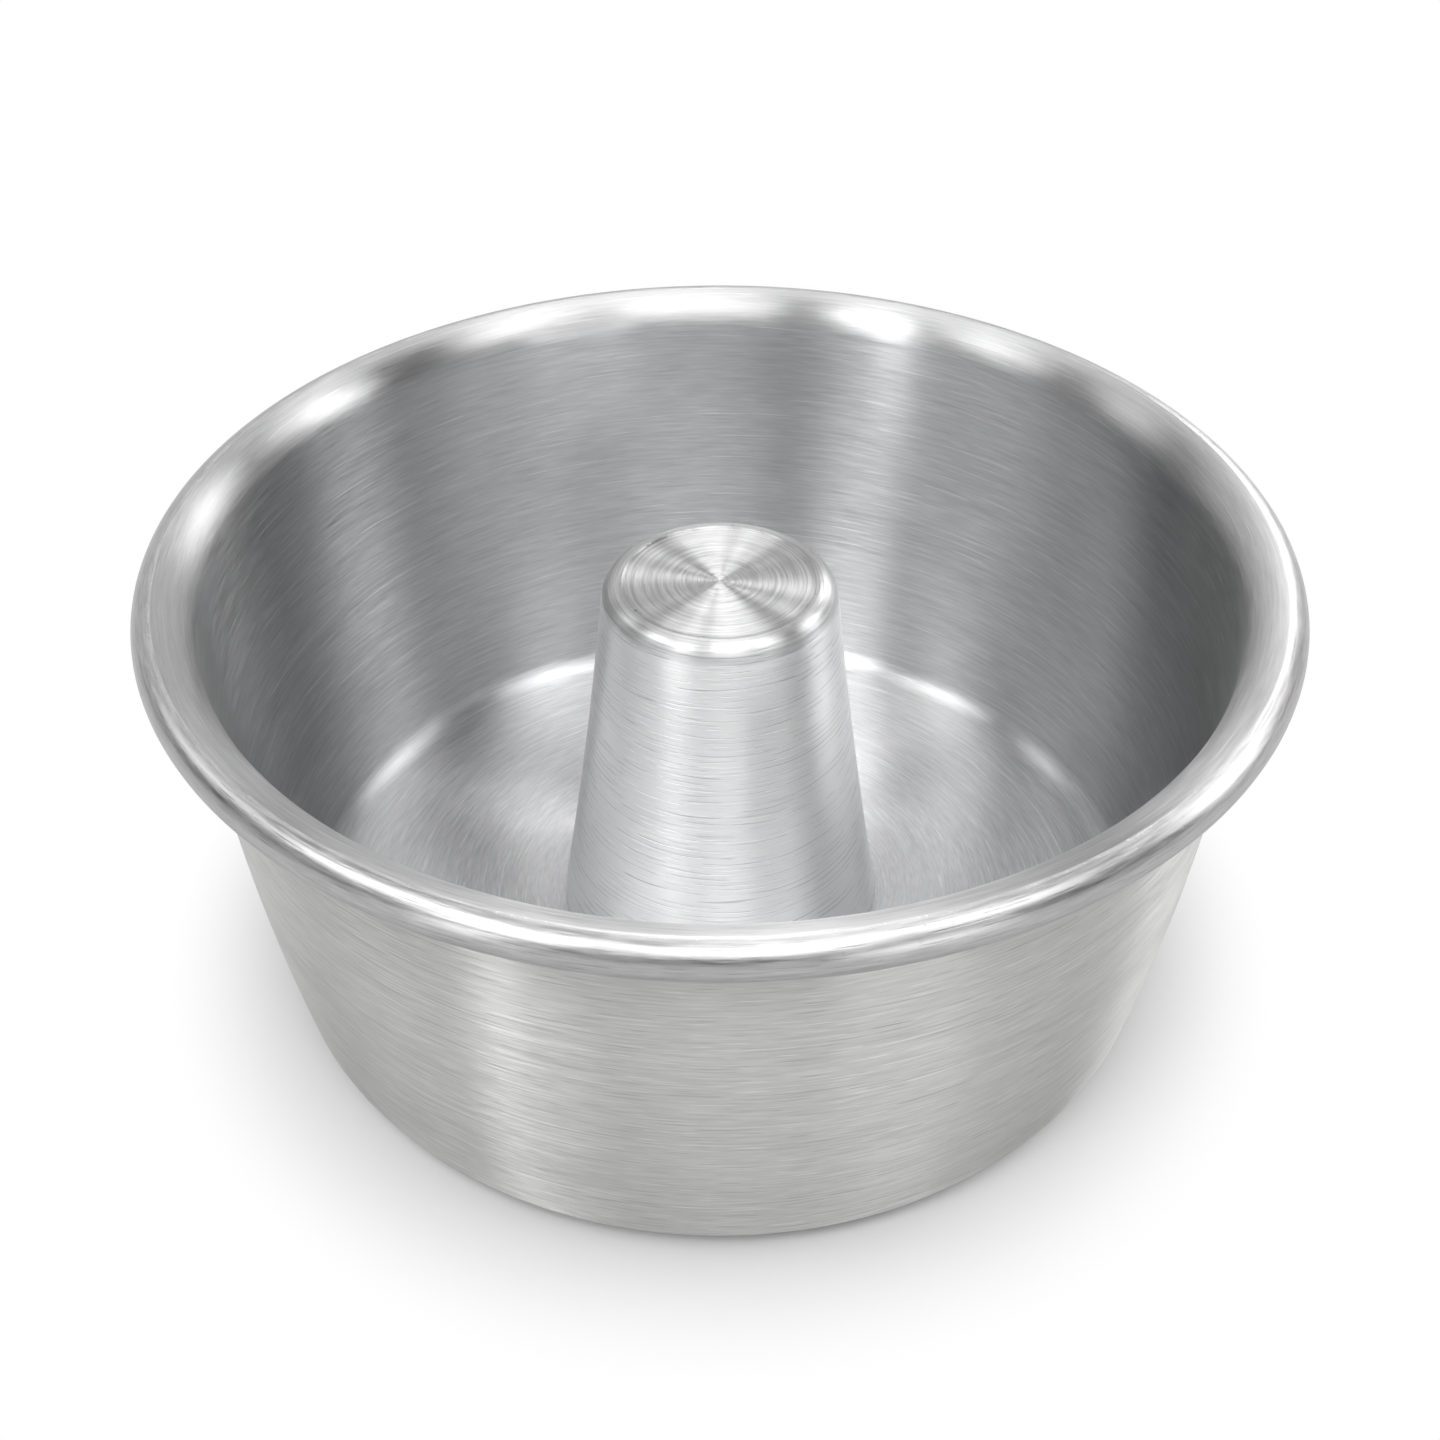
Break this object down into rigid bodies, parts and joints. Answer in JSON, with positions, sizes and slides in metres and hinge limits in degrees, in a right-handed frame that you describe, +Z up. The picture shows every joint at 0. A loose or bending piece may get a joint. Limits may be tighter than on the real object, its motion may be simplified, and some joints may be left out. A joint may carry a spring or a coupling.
{
  "type": "flan pan",
  "caption": "Round tapered aluminium flan pan with a rolled rim and a closed hollow cone rising from its floor, for baking ring-shaped puddings.",
  "frame": {"origin": "middle of the base, on the surface that the pan stands on", "axes": "+Z up along the axis of revolution; X and Y lie in the resting plane, and any pair is as good as another because the pan is round"},
  "size_m": [0.14, 0.14, 0.0616],
  "materials": {
    "body_sheet": "spun aluminium, finely brushed around the axis, polished at the rim",
    "cone_sheet": "bright aluminium with coarse turning lines"
  },
  "bodies": {
    "root": {"pan_body": "body_sheet", "centre_cone": "cone_sheet"}
  },
  "joints": []
}
